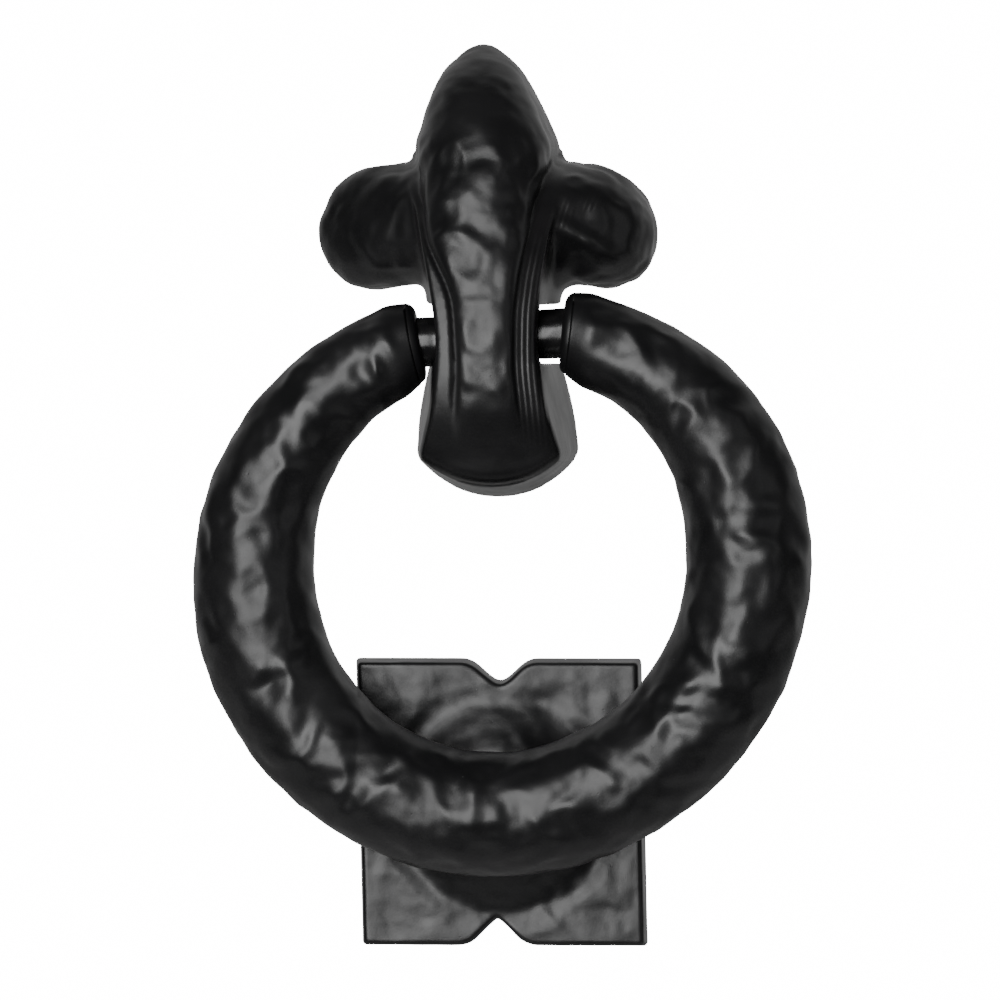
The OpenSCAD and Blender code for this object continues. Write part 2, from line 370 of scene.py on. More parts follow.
def coloured(material, fac, first, second):
    """A mix from the first colour, which can be a socket, to the second."""
    tree = material.node_tree
    node = tree.nodes.new("ShaderNodeMix")
    node.data_type = "RGBA"
    if isinstance(first, tuple):
        node.inputs["A"].default_value = (*first, 1)
    else:
        tree.links.new(first, node.inputs["A"])
    node.inputs["B"].default_value = (*second, 1)
    tree.links.new(fac, node.inputs["Factor"])
    return node.outputs["Result"]


def bumped(material, height, depth, before=None):
    """A bump whose height of 1 is that many mm."""
    tree = material.node_tree
    node = tree.nodes.new("ShaderNodeBump")
    node.inputs["Distance"].default_value = depth * MM
    node.inputs["Strength"].default_value = 1
    tree.links.new(height, node.inputs["Height"])
    if before is not None:
        tree.links.new(before, node.inputs["Normal"])
    return node.outputs["Normal"]


def attribute_node(material, name):
    """A value that the mesh carries at its vertices; 0 on meshes without it."""
    node = material.node_tree.nodes.new("ShaderNodeAttribute")
    node.attribute_name = name
    return node.outputs["Fac"]


def reed_height(material):
    """Fine lines cut along the right ribbon."""
    pitch = 1.1
    turns = combined(material, "MULTIPLY", attribute_node(material, "reed"), 2 * math.pi / pitch)
    wave = combined(material, "COSINE", turns, 0)
    return combined(material, "MULTIPLY", wave, attribute_node(material, "reeded"))


def paint_tone(material, place, patches):
    """Two nearly black tones in wide patches, with pale specks of dust that half cover the paint."""
    fac = ranged(material, patches, (0.35, 0.65), (0, 1))
    paint = coloured(material, fac, (0.0055, 0.0055, 0.006), (0.0085, 0.0083, 0.009))
    dust = spot_node(material, place, 6, 0.17)
    return coloured(material, combined(material, "MULTIPLY", dust, 0.5), paint, (0.2, 0.2, 0.205))


def paint_roughness(material, patches, grain):
    """Satin that is duller in some patches and in the crease beside the left ribbon."""
    rough = ranged(material, patches, (0.3, 0.7), (0.31, 0.4))
    rough = combined(material, "ADD", rough, combined(material, "MULTIPLY", grain, 0.05))
    crease = combined(material, "MULTIPLY", attribute_node(material, "crease"), 0.35)
    return combined(material, "ADD", rough, crease)


def paint_bumps(material, place, grain):
    """The casting's grain, the paint's orange peel, small pits and the fine lines."""
    peel = noise_node(material, place, 0.7, 2)
    pits = spot_node(material, place, 3.1, 0.22)
    normal = bumped(material, grain, 0.035)
    normal = bumped(material, peel, 0.006, normal)
    normal = bumped(material, combined(material, "MULTIPLY", pits, -1), 0.03, normal)
    return bumped(material, reed_height(material), 0.055, normal)


def cast_black_material():
    """Satin black paint over hammered cast iron."""
    material, shader, place = new_material("cast_black", "hammered_black", (0.005, 0.005, 0.0055), 0.36)
    link = material.node_tree.links.new
    patches = noise_node(material, place, 11, 3)
    grain = noise_node(material, place, 2.4, 4, 0.6)
    link(paint_tone(material, place, patches), shader.inputs["Base Color"])
    link(paint_roughness(material, patches, grain), shader.inputs["Roughness"])
    link(paint_bumps(material, place, grain), shader.inputs["Normal"])
    return material


def pin_material():
    """The pin's paint: the same black, smoother, and rubbed where it turns."""
    material, shader, place = new_material("pin_black", "black_pin", (0.008, 0.008, 0.0085), 0.3)
    link = material.node_tree.links.new
    streaks = noise_node(material, place, 0.9, 3)
    rubbed = ranged(material, noise_node(material, place, 3, 3), (0.4, 0.75), (0, 1))
    colour = coloured(material, rubbed, (0.005, 0.005, 0.0055), (0.014, 0.0135, 0.0135))
    link(colour, shader.inputs["Base Color"])
    link(ranged(material, streaks, (0.3, 0.7), (0.2, 0.28)), shader.inputs["Roughness"])
    link(bumped(material, streaks, 0.008), shader.inputs["Normal"])
    return material


def plated_material():
    """Zinc plating, with dull and brighter patches."""
    material, shader, place = new_material("zinc_plated", "plated_steel", (0.55, 0.56, 0.57), 0.35, 1.0)
    link = material.node_tree.links.new
    patches = noise_node(material, place, 2.5, 4, 0.6)
    scuffs = noise_node(material, place, 0.35, 2)
    bright = ranged(material, patches, (0.3, 0.7), (0, 1))
    link(coloured(material, bright, (0.46, 0.46, 0.455), (0.62, 0.63, 0.65)), shader.inputs["Base Color"])
    link(ranged(material, patches, (0.3, 0.7), (0.26, 0.46)), shader.inputs["Roughness"])
    link(bumped(material, scuffs, 0.012), shader.inputs["Normal"])
    return material


# ---- the head casting ----

LEAN = 0.028  # how far the head leans to its left for each mm of height
FOOT_CORNER_Z = -25
PETAL_BEND_Z = 51  # height at which the petal is wider and bends to the left
CORE_TOP = 58.9
FOOT_TOP = -5.5
LOBE_R = 12.35  # half height of a side lobe
SLOT_LOW, SLOT_HIGH = -5.9, 6.2  # the pin's slot
# Middle of the right lobe's lip: distance across, then height
LIP_PATH = [(11, 15.8), (12.3, 19.4), (14.4, 21), (17.5, 20.2), (20.8, 18.2), (24, 15.8), (27.3, 15), (31.3, 16.6)]

# Petal and central bar: height, then half width, distance out and depth of the rounded front
CORE_HALF = [(-24, 6.4), (-14, 5.8), (-6, 5.3), (0, 5.4), (7, 5.9), (11, 6.8), (15, 8.1), (18.5, 9.2),
             (24.6, 11), (30, 13), (35, 14.7), (39, 14.5), (43, 13.1), (47, 11.4), (51, 9.4), (54.5, 7.1),
             (57, 4.5), (58.4, 2.6), (59.4, 0.8)]
CORE_OUT = [(-32, 26), (-24, 33.2), (-16, 38), (-6, 40), (0, 39.8), (9.3, 38.6), (20.4, 36.4), (27, 34.8),
            (33, 33), (38, 31.2), (43, 28.6), (47, 25.6), (51, 21.8), (54.5, 17), (57, 12), (58.6, 8), (59.6, 4)]
CORE_DOME = [(-24, 1.2), (-14, 1.5), (0, 1.7), (9.3, 2.8), (20.4, 6.5), (33, 10.5), (38, 11.5), (47, 10),
             (54.5, 7), (59.4, 3)]
# Ribbons that run down both sides into the stem: height, then half width and distance out
RIBBON_HALF = [(-26, 13.8), (-20, 12.4), (-13, 11), (-6, 10.1), (0, 9.9), (9.3, 11), (20.4, 12.9), (27, 14),
               (34, 15)]
RIBBON_OUT = [(-34, 22), (-26, 31.3), (-18, 36.4), (-12, 38.1), (-6, 38.7), (0, 38.2), (9.3, 36), (20.4, 30.5),
              (27, 24), (31, 18), (35, 9), (39, -4)]
# Foot: height, then half width at the door and at the front
FOOT_BACK = [(-28, 17), (-24, 16.4), (-17.5, 15.8), (-13.4, 15.1), (-9, 14.1), (-5, 13)]
FOOT_FRONT = [(-28, 14.4), (-23.5, 13.7), (-20, 12.8), (-14.6, 11.3), (-7, 10.4), (-5, 10.2)]


def head_place(p):
    """Coordinates that follow the head: across, out from the door and up."""
    x, out, z = p[:, 0], -p[:, 1], p[:, 2]
    across = x + LEAN * (z - FOOT_CORNER_Z)
    wider = 0.4 * hump(z, PETAL_BEND_Z, 7) * np.sign(1 - across)
    leftward = 0.65 * hump(z, PETAL_BEND_Z, 8)
    return across + wider + leftward, out, z


def arc_below(across, centre_z, r):
    """Height of a circle's lower edge."""
    return centre_z - np.sqrt(np.maximum(r**2 - across**2, 1))


def underside(across, out, z):
    """The foot's round lower edge: a deep arc at the door, a flatter and higher one at the front."""
    t = np.clip(out / 36, 0, 1)
    at_door = arc_below(across, -12.4, 20.4)
    at_front = arc_below(across, -7.6, 21.4)
    steepness = 0.88  # keeps the field near a true distance
    return steepness * (at_door * (1 - t) + at_front * t - z)


def core_shift(z):
    """How far the petal's neck sits to the left between its two unlike ribbons."""
    return -1.2 * smoothstep(6, 20, z) * (1 - smoothstep(26, 36, z))


def superellipse(u, v, power):
    """1 on an ellipse's edge when the power is 2, and on a squarer outline when it is more."""
    return (u**power + v**power) ** (1 / power)


def core_field(across, out, z):
    """The petal and the bar below it: drafted sides and a rounded front, squarer in the stem."""
    thin = 0.3
    half = np.maximum(curve(z, CORE_HALF), thin)
    front = curve(z, CORE_OUT)
    dome = curve(z, CORE_DOME)
    drafted_from = front * (1 - smoothstep(18, 34, z))
    widest = half + (drafted_from - np.maximum(out, 0)) * DRAFT * 0.8
    u = np.abs(across - core_shift(z)) / np.maximum(widest, thin)
    v = np.maximum(out - (front - dome), 0) / dome
    power = 2.2 + 1.9 * (1 - smoothstep(4, 30, z))
    body = (superellipse(u, v, power) - 1) * np.minimum(half, 9)
    return np.maximum(soft_max(body, z - CORE_TOP, 1.5), underside(across, out, z))


def ribbon_field(across, out, z):
    """A flat strip behind a groove on the left; a plain slope for the fine lines on the right."""
    half = curve(z, RIBBON_HALF)
    off = np.abs(across - core_shift(z)) - curve(z, CORE_HALF)
    left = across < 0
    fading = smoothstep(-19, -9, z) * (1 - smoothstep(22, 32, z))
    groove = np.where(left, 0.9 * (1 - smoothstep(0.4, 2.0, off)), 0.25) * fading
    slope = np.where(left, 0.12, 0.3)
    front = curve(z, RIBBON_OUT) - slope * np.maximum(off, 0) - groove
    side = np.abs(across) - half - (front - out) * 0.06
    return np.maximum(soft_max(0.8 * (out - front), side, 0.9), underside(across, out, z))


def wing_outline(across, z):
    """Seen from the front: a round-ended lobe and the web that runs down from it to the slot."""
    side = np.abs(across)
    left = across < 0
    middle = 22.65 - 0.11 * (side - 16)
    lobe = np.hypot(np.maximum(side - np.where(left, 22.5, 21.8), 0), z - middle) - LOBE_R
    web_side = side - np.where(left, 13.3, 13.9) - 0.16 * np.maximum(z - 9, 0) ** 1.6
    web = soft_max(web_side, np.where(left, 6.2, 5.4) - z, 1.6)
    web = soft_max(web, z - 24, 2)
    return soft_min(lobe, web, np.where(left, 3, 4.5))


def wing_field(across, out, z):
    """A side lobe with its web; the front slopes back outwards."""
    fall = np.where(across < 0, 0.6, 0.24)
    front = 24 - fall * np.maximum(np.abs(across) - 12, 0) + lip(across, z)
    seat = 4.5  # the sides are straight up to here
    u = np.maximum(1 + wing_outline(across, z) / (LOBE_R - 0.08 * np.maximum(out, 0)), 0)
    v = np.maximum(out - seat, 0) / np.maximum(front - seat, 2)
    return (superellipse(u, v, 2.2) - 1) * 9


def lip(across, z):
    """The curled lip on the right lobe, with a hollow under it."""
    line = curve(np.clip(across, LIP_PATH[0][0], LIP_PATH[-1][0]), LIP_PATH)
    here = smoothstep(10, 14, across) * (1 - smoothstep(28, 33, across))
    return here * (1.7 * hump(z, line + 0.6, 2.6) - 2.2 * hump(z, line - 5.4, 3.8))


def foot_field(across, out, z):
    """The foot below the pin: wider at the door, with a round lower edge and a front that falls away."""
    t = np.clip(out / 38, 0, 1)
    wider_right = np.where(across > 0, 0.45, 0)
    half = (curve(z, FOOT_BACK) + wider_right) * (1 - t) + curve(z, FOOT_FRONT) * t
    lean = 0.06 * np.maximum(-6 - z, 0) + 0.11 * np.maximum(-11 - z, 0) ** 1.25
    front = 37.7 - lean - 0.008 * across * across
    side = soft_max(np.abs(across) - half, underside(across, out, z), 1.2)
    body = soft_max(side, 0.95 * (out - front), 2.2)
    return soft_max(body, z - FOOT_TOP, 0.8)


def head_body(p):
    """The head's outside, before the slot and the hollow back are cut."""
    across, out, z = head_place(p)
    body = soft_min(core_field(across, out, z), ribbon_field(across, out, z), 0.7)
    body = soft_min(body, wing_field(across, out, z), 1.4)
    return soft_min(body, foot_field(across, out, z), 1.2)


def strap_channel(x, out, z):
    """Recess for the keeper strap in the head's back."""
    play = 0.3
    return np.maximum.reduce([
        np.abs(x) - STRAP_HIGH[0] - play,
        STRAP_LOW[2] - play - z,
        z - STRAP_HIGH[2] - play,
        out + STRAP_LOW[1],
    ])


def hollow_back(body, x, z):
    """Hollows behind a 5 mm wall, above and below the slot, with a boss left round each stud."""
    wall, boss_r = 5, 6.5
    hollow = np.maximum(body + wall, np.minimum(14 - z, z + 11))
    for boss_z in (-STUD_Z, STUD_Z):
        hollow = soft_max(hollow, boss_r - np.hypot(x, z - boss_z), 1)
    return hollow


def head_field(p):
    """The whole head casting."""
    x, out, z = p[:, 0], -p[:, 1], p[:, 2]
    body = head_body(p)
    slot_front = PIN_OUT + PIN_R + 0.3
    slot = np.maximum(np.abs(z - (SLOT_LOW + SLOT_HIGH) / 2) - (SLOT_HIGH - SLOT_LOW) / 2, out - slot_front)
    cut = np.minimum(np.minimum(slot, hollow_back(body, x, z)), strap_channel(x, out, z))
    return soft_max(soft_max(body, -cut, 0.6), -out, 0.3)


def head_relief(p):
    """Hammered lumps on the head's outside; the foot and the ribbons are smoother."""
    across, out, z = head_place(p)
    outside = 1 - smoothstep(0.2, 0.8, np.abs(head_body(p)))
    inward = curve(z, CORE_HALF) - np.abs(across - core_shift(z))
    petal = smoothstep(-17, -8, z) * smoothstep(-0.2 - 3 * smoothstep(30, 38, z), 1.8, inward)
    lobes = smoothstep(14, 18, np.abs(across))
    strength = 0.08 + (1.0 - 0.45 * smoothstep(34, 46, z)) * petal + 0.95 * lobes
    crowding = 1.3  # the marks are this much smaller than on the ring's scale
    return outside * smoothstep(0, 2.5, out) * strength * hammered(p * crowding, HEAD_SEED) / crowding


def ribbon_marks(vertices):
    """Where the right ribbon's fine lines run, and where the crease beside the left ribbon is."""
    across, out, z = head_place(vertices)
    from_middle, half = across - core_shift(z), curve(z, CORE_HALF)
    off = from_middle - half
    reeded = smoothstep(-0.3, 0.4, off) * smoothstep(-24, -12, z) * (1 - smoothstep(20, 30, z))
    reeded = reeded * smoothstep(curve(z, RIBBON_OUT) - 5, curve(z, RIBBON_OUT) - 3.5, out)
    crease = hump(-from_middle - half, 0.3, 0.7) * smoothstep(20, 26, out)
    crease = crease * smoothstep(-22, -16, z) * (1 - smoothstep(20, 28, z))
    return {"reed": off, "reeded": reeded, "crease": crease}


def make_head(material):
    step = 0.52
    vertices, quads, normals = surface_of(head_field, HEAD_LOW - [2, 0, 1], HEAD_HIGH + [2, 0, 1], step)
    vertices = vertices + head_relief(vertices)[:, None] * normals
    add_piece("head", vertices, quads, material, "head_casting", FIXED, ribbon_marks(vertices))


# ---- the ring and its pin ----

TILT = math.radians(3.8)  # the ring hangs a little crooked in its slot
RING_SHIFT = -0.9
PIN_DROP = -0.45
RING_R = (RING_HIGH[0] - RING_LOW[0]) / 2
BAR_R = (RING_HIGH[1] - RING_LOW[1]) / 2
RING_MID_Z = RING_LOW[2] + RING_R
END_R = RING_HIGH[2]
# Left end, then right end: place, slant of the end face, and the turn at which the bar begins to taper
END_X = {-1: 13.4, 1: 15.2}
END_TILT = {-1: math.radians(6), 1: math.radians(9)}
TAPER_FROM = {-1: 74, 1: 90}
END_RISE = -RING_MID_Z + 0.3  # height of the bar's ends above the ring's middle
LEVEL_FROM = 110  # turn at which the bar begins to straighten towards the pin


def hung(p):
    """Tips the ring and its pin about the pin's axis and slides them along it."""
    x, y, z = p.T
    return np.column_stack([
        x * math.cos(TILT) - z * math.sin(TILT) + RING_SHIFT,
        y,
        x * math.sin(TILT) + z * math.cos(TILT) + PIN_DROP,
    ])


def bar_rows(turn, sides):
    """Rings of points round the bar, at turns in degrees from the ring's bottom."""
    centre_r = RING_R - BAR_R
    side = np.where(turn < 0, -1, 1)
    away = np.abs(turn)
    end_x = np.where(turn < 0, END_X[-1], END_X[1])
    taper = np.where(turn < 0, TAPER_FROM[-1], TAPER_FROM[1])
    end_turn = end_turn_of(end_x)
    level = smoothstep(0, 1, (away - LEVEL_FROM) / (end_turn - LEVEL_FROM))
    from_lower_left = np.radians(turn + 45)
    out_of_round = 0.7 * np.cos(2 * from_lower_left) + 0.35 * np.cos(from_lower_left)
    mid_r = centre_r + out_of_round * (1 - level) - (centre_r - np.hypot(end_x, END_RISE)) * level
    r = BAR_R - (BAR_R - END_R - 0.7) * smoothstep(0, 1, (away - taper) / (end_turn - 6 - taper))
    r = r - 1.5 * smoothstep(0, 1, (away - end_turn + 8) / 9)
    lean = np.radians(away + (180 - end_turn) * level)
    away = np.radians(away)
    t = 2 * np.pi * np.arange(sides) / sides
    outward = r[:, None] * np.cos(t)
    x = side[:, None] * ((mid_r * np.sin(away))[:, None] + outward * np.sin(lean)[:, None])
    y = -PIN_OUT + r[:, None] * np.sin(t)
    z = RING_MID_Z - (mid_r * np.cos(away))[:, None] - outward * np.cos(lean)[:, None]
    return np.stack([x, y, z], axis=2)


def end_turn_of(end_x):
    """Turn from the ring's bottom, in degrees, at which the bar ends."""
    return 90 + np.degrees(np.arctan2(END_RISE, end_x))


def end_rows(side, sides):
    """Rounded edge and flat face at one end of the bar, from the bar inwards."""
    rounding, steps = 1.9, 11
    flat = bar_rows(np.array([side * (end_turn_of(END_X[side]) - 1.75)]), sides)[0]
    centre = np.array([-PIN_OUT, flat[:, 2].mean()])
    away = flat[:, 1:] - centre
    reach = np.linalg.norm(away, axis=1, keepdims=True)
    away = away / reach
    rows = []
    for a in np.linspace(0, math.pi / 2, steps):
        row = flat.copy()
        row[:, 0] = side * (END_X[side] + rounding * (1 - math.sin(a)))
        row[:, 1:] = centre + away * (reach - rounding * (1 - math.cos(a)))
        rows.append(row)
    edge = rows[-1]
    hidden_r = PIN_R * 0.6
    for part in (0.8, 0.6, 0.4, 0.2, 0.05):
        row = edge.copy()
        row[:, 0] += side * 0.25 * (part - 1)
        row[:, 1:] = centre + away * (hidden_r + (reach - rounding - hidden_r) * part)
        rows.append(row)
    return rows


def ring_relief(vertices, normals):
    """Hammered lumps that calm down at the outline and fade out at the bar's ends."""
    from_end = np.minimum(np.abs(vertices[:, 0] + END_X[-1]), np.abs(vertices[:, 0] - END_X[1]))
    top_half = vertices[:, 2] > RING_MID_Z
    strength = np.where(top_half, 0.05 + 0.95 * smoothstep(0.3, 9, from_end), 1.0)
    calmer = 0.4 + 0.7 * np.abs(normals[:, 1])
    crowding = 1.12
    return strength * calmer * (1.3 * hammered(vertices * crowding, RING_SEED) / crowding - 0.05)


def slant_ends(vertices):
    """Tilts the bar's two end faces."""
    for side in (-1, 1):
        beyond = side * vertices[:, 0] - END_X[side]
        weight = (1 - smoothstep(0, 10, beyond)) * (beyond > -3) * (vertices[:, 2] > -14)
        vertices[:, 0] += side * math.tan(END_TILT[side]) * vertices[:, 2] * weight


def make_ring(material):
    sides, count = ((120, 620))
    first, last = -(end_turn_of(END_X[-1]) - 2), end_turn_of(END_X[1]) - 2
    bar = list(bar_rows(np.linspace(first, last, count), sides))
    rows = end_rows(-1, sides)[::-1] + bar + end_rows(1, sides)
    vertices = np.concatenate(rows)
    quads = grid_quads(len(rows), sides)
    normals = vertex_normals(vertices, quads)
    middle = len(vertices) // 2
    if np.sum(normals[middle] * (vertices[middle] - [0, -PIN_OUT, RING_LOW[2] + BAR_R])) < 0:
        quads = quads[:, ::-1]
        normals = -normals
    vertices = vertices + ring_relief(vertices, normals)[:, None] * normals
    slant_ends(vertices)
    add_piece("ring", hung(vertices), quads, material, "knocker_ring", SWINGING)


def make_pin(material):
    sides, chamfer, worn = 64, 0.8, 0.06
    end = PIN_HIGH[0]
    between = np.linspace(-end + chamfer + 0.2, end - chamfer - 0.2, 90)
    profile = [(-end, TIP_R), (-end, PIN_R - chamfer), (-end + chamfer, PIN_R)]
    profile += [(x, PIN_R - worn * hump(abs(x), 10.4, 0.8)) for x in between]
    profile += [(end - chamfer, PIN_R), (end, PIN_R - chamfer), (end, TIP_R)]
    t = 2 * np.pi * np.arange(sides) / sides
    rows = [np.column_stack([np.full(sides, x), -PIN_OUT + r * np.cos(t), r * np.sin(t)]) for x, r in profile]
    vertices = np.concatenate(rows)
    quads = grid_quads(len(rows), sides)[:, ::-1]
    normals = vertex_normals(vertices, quads)
    vertices = vertices + 0.03 * noise(vertices, 2, PIN_SEED)[:, None] * normals
    add_piece("pin", hung(vertices), quads, material, "pivot_pin", SWINGING)


# ---- the strike plate ----

PLATE_HALF = (PLATE_HIGH[2] - PLATE_LOW[2]) / 2
PLATE_T = 7
PLATE_SKEW = 0.023  # sideways lean for each mm of height
PLATE_SHIFT = 1.0
PLATE_RISE, PLATE_TALLER = 0.3, 0.25  # the plate sits a little high and is a little taller than wide
NOTCH_DEEP = 6
DOME_TOP = -PLATE_LOW[1]
DOME_R = 21.5
# Distance from the dome's middle, then its height from 0 to 1
DOME_SHAPE = [(0, 1), (5, 0.995), (9, 0.95), (12, 0.8), (16.3, 0.4), (20, 0.07), (DOME_R, -0.02), (DOME_R + 4, 0)]


def plate_place(p):
    """Coordinates that follow the plate: across, out from the door and up from its middle."""
    z = p[:, 2] - PLATE_Z
    return p[:, 0] - PLATE_SHIFT + PLATE_SKEW * z, -p[:, 1], z


def dome_height(r):
    """A striking boss with a rounded top and a soft hollow at its foot."""
    return (DOME_TOP - PLATE_T) * curve(np.clip(r, 0, DOME_SHAPE[-1][0]), DOME_SHAPE)


def plate_field(p):
    """The plate: a square with a rounded V notch in its top and bottom edges, and the dome."""
    across, out, z = plate_place(p)
    narrower = np.maximum(out, 0) * DRAFT
    up = np.abs(z - PLATE_RISE) - PLATE_TALLER
    square = soft_max(np.abs(across), up, 1.0) - PLATE_HALF + narrower
    below = z < 0
    from_notch = np.hypot(across - np.where(below, -1.3, 0.3), np.where(below, 0.5, 1.5))
    notch = (up - from_notch - (PLATE_HALF - NOTCH_DEEP)) / math.sqrt(2) + narrower * 0.7
    outline = soft_max(square, notch, 1.6)
    front = 0.92 * (out - PLATE_T - dome_height(np.hypot(across, z)))
    return soft_max(soft_max(outline, front, 0.9), -out, 0.3)


def plate_relief(vertices):
    """Hammered lumps on the plate's front, calmer at its edges and on the dome's top."""
    across, out, z = plate_place(vertices)
    edge = PLATE_HALF - np.maximum(np.abs(across), np.abs(z))
    strength = smoothstep(1, 4.5, out) * (0.25 + 0.75 * smoothstep(0, 5, edge))
    clear = 1 - 0.75 * (1 - smoothstep(3, 9, np.hypot(across, z)))
    crowding = 1.3
    return strength * clear * (0.62 * hammered(vertices * crowding, PLATE_SEED) / crowding - 0.1)


def make_strike_plate(material):
    step = 0.42
    vertices, quads, normals = surface_of(plate_field, PLATE_LOW - [2, 0, 0], PLATE_HIGH + [3, 0, 0], step)
    vertices = vertices + plate_relief(vertices)[:, None] * normals
    add_piece("strike_plate_casting", vertices, quads, material, "strike_plate", FIXED)


# ---- fixings behind the head and the door ----

SCREW_R = 2
SCREW_HEAD_R = SCREW_HIGH[0]
SCREW_PLACES = (SCREW_LOW[2] + SCREW_HEAD_R, SCREW_HIGH[2] - SCREW_HEAD_R)
STUD_R = STUD_HIGH[0]
STUD_PLACES = (STUD_Z, -STUD_Z, PLATE_Z)
THREAD_FROM = WASHER_LOW[1] - 1  # the nut's thread begins inside the door


def cylinder_field(p, x, z, r, low_y, high_y, edge=0.3):
    """Cylinder along Y with rounded edges."""
    side = np.hypot(p[:, 0] - x, p[:, 2] - z) - r
    ends = np.abs(p[:, 1] - (low_y + high_y) / 2) - (high_y - low_y) / 2
    return soft_max(side, ends, edge)


def strap_field(p):
    """A flat strip with rounded corners and two screw holes."""
    middle, half = (STRAP_LOW + STRAP_HIGH) / 2, (STRAP_HIGH - STRAP_LOW) / 2
    q = np.abs(p - middle) - half
    body = soft_max(soft_max(q[:, 0], q[:, 2], 2.2), q[:, 1], 0.5)
    for z in SCREW_PLACES:
        body = soft_max(body, SCREW_R + 0.2 - np.hypot(p[:, 0], p[:, 2] - z), 0.3)
    return body


def make_strap(material):
    vertices, quads, _ = surface_of(strap_field, STRAP_LOW, STRAP_HIGH, 0.35)
    add_piece("strap", vertices, quads, material, "keeper_strap", FIXED)


def make_screws(material):
    """Cheese-head screws with a driver's slot."""
    seat, top = STRAP_HIGH[1], SCREW_HIGH[1]
    slot_half, slot_deep = 0.45, 1.1
    for name, z in zip(("screw_lower", "screw_upper"), SCREW_PLACES):

        def screw_field(p):
            head = cylinder_field(p, 0, z, SCREW_HEAD_R, seat, top, 1.0)
            shank = cylinder_field(p, 0, z, SCREW_R, SCREW_LOW[1], seat + 0.5)
            slot = np.maximum(np.abs(p[:, 2] - z) - slot_half, top - slot_deep - p[:, 1])
            return soft_max(np.minimum(head, shank), -slot, 0.15)

        low = np.array([-SCREW_HEAD_R, SCREW_LOW[1], z - SCREW_HEAD_R])
        high = np.array([SCREW_HEAD_R, top, z + SCREW_HEAD_R])
        vertices, quads, _ = surface_of(screw_field, low, high, 0.2)
        add_piece(name, vertices, quads, material, "keeper_screws", FIXED)


def threaded_rows(z, profile, sides, pitch=1.0, depth=0.5):
    """Rows of a stud: (distance along Y, radius, 1 where it is threaded)."""
    t = 2 * np.pi * np.arange(sides) / sides
    rows = []
    for y, r, thread in profile:
        wave = np.abs(((y / pitch - t / (2 * np.pi)) % 1) * 2 - 1)
        radius = r - thread * depth * wave
        rows.append(np.column_stack([radius * np.cos(t), np.full(sides, y), z + radius * np.sin(t)]))
    return rows


def stud_profile():
    """Threaded in the casting, plain through the door and threaded for the nut."""
    start, end, step = STUD_LOW[1], STUD_HIGH[1], 0.125
    crest_r, chamfer = STUD_R - 0.08, 0.4
    profile = [(start, TIP_R, 0), (start, STUD_R - 0.8, 0)]
    profile += [(y, crest_r, 1) for y in np.arange(start + chamfer, -0.2, step)]
    profile += [(0, STUD_R, 0), (THREAD_FROM - 0.4, STUD_R, 0)]
    profile += [(y, crest_r, min(1, (end - chamfer - y) * 2)) for y in np.arange(THREAD_FROM, end - chamfer, step)]
    return profile + [(end, STUD_R - 0.7, 0), (end, TIP_R, 0)]


def make_studs(material):
    sides = 36
    for number, z in enumerate(STUD_PLACES, 1):
        rows = threaded_rows(z, stud_profile(), sides)
        quads = grid_quads(len(rows), sides)
        add_piece(f"stud_{number}", np.concatenate(rows), quads, material, "door_studs", FIXED)


def make_washers(material):
    """Flat washers on the inside of the door."""
    outer = WASHER_HIGH[0]
    for number, z in enumerate(STUD_PLACES, 1):

        def washer_field(p):
            disc = cylinder_field(p, 0, z, outer, WASHER_LOW[1], WASHER_HIGH[1], 0.5)
            return soft_max(disc, STUD_R + 0.2 - np.hypot(p[:, 0], p[:, 2] - z), 0.2)

        low = np.array([-outer, WASHER_LOW[1], z - outer])
        high = np.array([outer, WASHER_HIGH[1], z + outer])
        vertices, quads, _ = surface_of(washer_field, low, high, 0.3)
        add_piece(f"washer_{number}", vertices, quads, material, "door_washers", FIXED)


def make_nuts(material):
    """Hexagon nuts with chamfered corners."""
    low_y, high_y = NUT_LOW[1], NUT_HIGH[1]
    corner = NUT_HIGH[0]
    flat = corner * math.sqrt(3) / 2
    for number, z in enumerate(STUD_PLACES, 1):

        def nut_field(p):
            x, up = p[:, 0], p[:, 2] - z
            across = np.abs(up)
            for turn in (math.pi / 3, -math.pi / 3):
                across = np.maximum(across, np.abs(up * math.cos(turn) + x * math.sin(turn)))
            r = np.hypot(x, up)
            ends = np.abs(p[:, 1] - (low_y + high_y) / 2) - (high_y - low_y) / 2
            chamfer = (r - flat) * 0.5 + ends * 0.87
            body = soft_max(np.maximum(across - flat, ends), chamfer, 0.1)
            return soft_max(body, STUD_R - 0.1 - r, 0.2)

        low = np.array([-corner, low_y, z - corner])
        high = np.array([corner, high_y, z + corner])
        vertices, quads, _ = surface_of(nut_field, low, high, 0.25)
        add_piece(f"nut_{number}", vertices, quads, material, "door_nuts", FIXED)


# ---- studio ----

VIEW_RIGHT, VIEW_UP = math.radians(2.6), math.radians(2.0)
VIEW_DISTANCE = 1375
VIEW_WIDTH = 201  # width of the view at the object
TARGET = np.array([1.7, -PIN_OUT, -33.0])  # middle of the view


def toward(right, up):
    """Unit vector from the object towards a place right of and above the front."""
    return Vector((math.sin(right) * math.cos(up), -math.cos(right) * math.cos(up), math.sin(up)))


def make_camera():
    """A long lens, a little right of and above the middle."""
    data = bpy.data.cameras.new("camera")
    data.sensor_width = 36
    data.lens = data.sensor_width * VIEW_DISTANCE / VIEW_WIDTH
    data.clip_end = 20
    camera = bpy.data.objects.new("camera", data)
    bpy.context.scene.collection.objects.link(camera)
    back = toward(VIEW_RIGHT, VIEW_UP)
    camera.location = Vector(TARGET * MM) + back * VIEW_DISTANCE * MM
    camera.rotation_mode = "QUATERNION"
    camera.rotation_quaternion = (-back).to_track_quat("-Z", "Y")
    bpy.context.scene.camera = camera


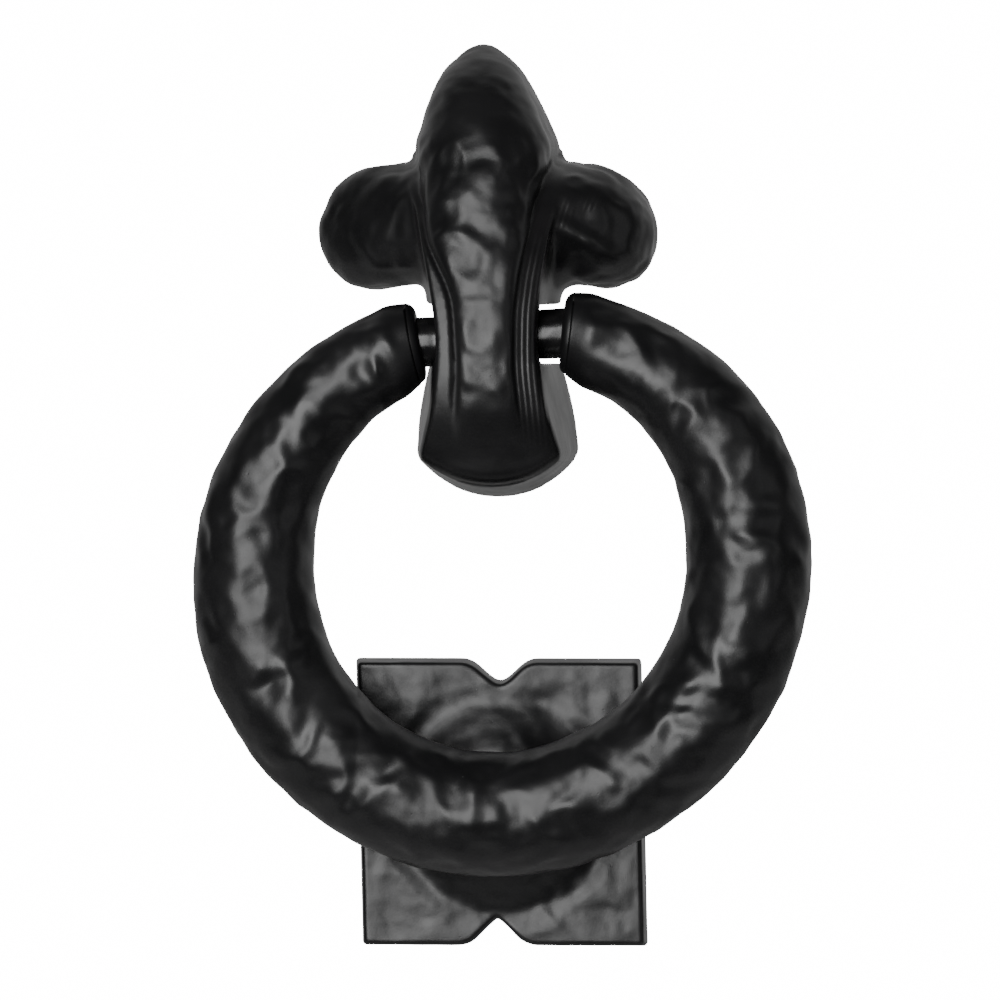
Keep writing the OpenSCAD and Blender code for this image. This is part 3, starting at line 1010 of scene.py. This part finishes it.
def add_softbox(name, right, up, distance, width, height, radiance):
    """A rectangular lamp that faces the object; angles in degrees, lengths in metres."""
    data = bpy.data.lights.new(name, "AREA")
    data.shape = "RECTANGLE"
    data.size, data.size_y = width, height
    data.energy = radiance * math.pi * width * height
    lamp = bpy.data.objects.new(name, data)
    bpy.context.scene.collection.objects.link(lamp)
    back = toward(math.radians(right), math.radians(up))
    lamp.location = Vector(TARGET * MM) + back * distance
    lamp.rotation_mode = "QUATERNION"
    lamp.rotation_quaternion = back.to_track_quat("Z", "Y")
    lamp.visible_camera = False


def make_floor():
    """A plain pale floor that ends just in front of the object, in metres."""
    material = bpy.data.materials.new("pale_floor")
    material.use_nodes = True
    shader = material.node_tree.nodes["Principled BSDF"]
    shader.inputs["Base Color"].default_value = (0.86, 0.86, 0.86, 1)
    shader.inputs["Roughness"].default_value = 0.9
    half, front, back, height = 0.7, -0.12, 0.7, -0.24
    mesh = bpy.data.meshes.new("floor")
    corners = [(-half, front, height), (half, front, height), (half, back, height), (-half, back, height)]
    mesh.from_pydata(corners, [], [(0, 1, 2, 3)])
    mesh.materials.append(material)
    floor = bpy.data.objects.new("floor", mesh)
    bpy.context.scene.collection.objects.link(floor)


def room_strength(tree):
    """Light from each direction: pale paper behind the object and a dim room in front."""
    link = tree.links.new
    place = tree.nodes.new("ShaderNodeTexCoord")
    behind = tree.nodes.new("ShaderNodeVectorMath")
    behind.operation = "DOT_PRODUCT"
    behind.inputs[1].default_value = (0.05, 0.98, 0.06)
    link(place.outputs["Generated"], behind.inputs[0])
    paper = tree.nodes.new("ShaderNodeMapRange")
    paper.interpolation_type = "SMOOTHSTEP"
    paper.inputs["From Min"].default_value = 0.1
    paper.inputs["From Max"].default_value = 0.65
    paper.inputs["To Min"].default_value = 0.05
    paper.inputs["To Max"].default_value = 0.7
    link(behind.outputs["Value"], paper.inputs["Value"])
    return paper.outputs["Result"]


def make_surroundings():
    """The paper and the room as the object sees them, and a plain white background for the picture."""
    world = bpy.data.worlds.new("studio")
    bpy.context.scene.world = world
    world.use_nodes = True
    tree = world.node_tree
    tree.nodes.clear()
    link = tree.links.new
    room = tree.nodes.new("ShaderNodeBackground")
    link(room_strength(tree), room.inputs["Strength"])
    white = tree.nodes.new("ShaderNodeBackground")
    white.inputs["Strength"].default_value = 20
    rays = tree.nodes.new("ShaderNodeLightPath")
    mix = tree.nodes.new("ShaderNodeMixShader")
    link(rays.outputs["Is Camera Ray"], mix.inputs["Fac"])
    link(room.outputs["Background"], mix.inputs[1])
    link(white.outputs["Background"], mix.inputs[2])
    out = tree.nodes.new("ShaderNodeOutputWorld")
    link(mix.outputs["Shader"], out.inputs["Surface"])


def make_studio():
    make_camera()
    make_floor()
    make_surroundings()
    add_softbox("key_softbox", right=-14, up=8.4, distance=1.2, width=0.6, height=1.08, radiance=7.9)
    add_softbox("fill_softbox", right=52, up=8, distance=1.3, width=0.4, height=1.0, radiance=0.6)


def main():
    black = cast_black_material()
    make_head(black)
    make_ring(black)
    make_strike_plate(black)
    make_pin(pin_material())
    plated = plated_material()
    make_strap(plated)
    make_screws(plated)
    make_studs(plated)
    make_washers(plated)
    make_nuts(plated)
    make_studio()


main()
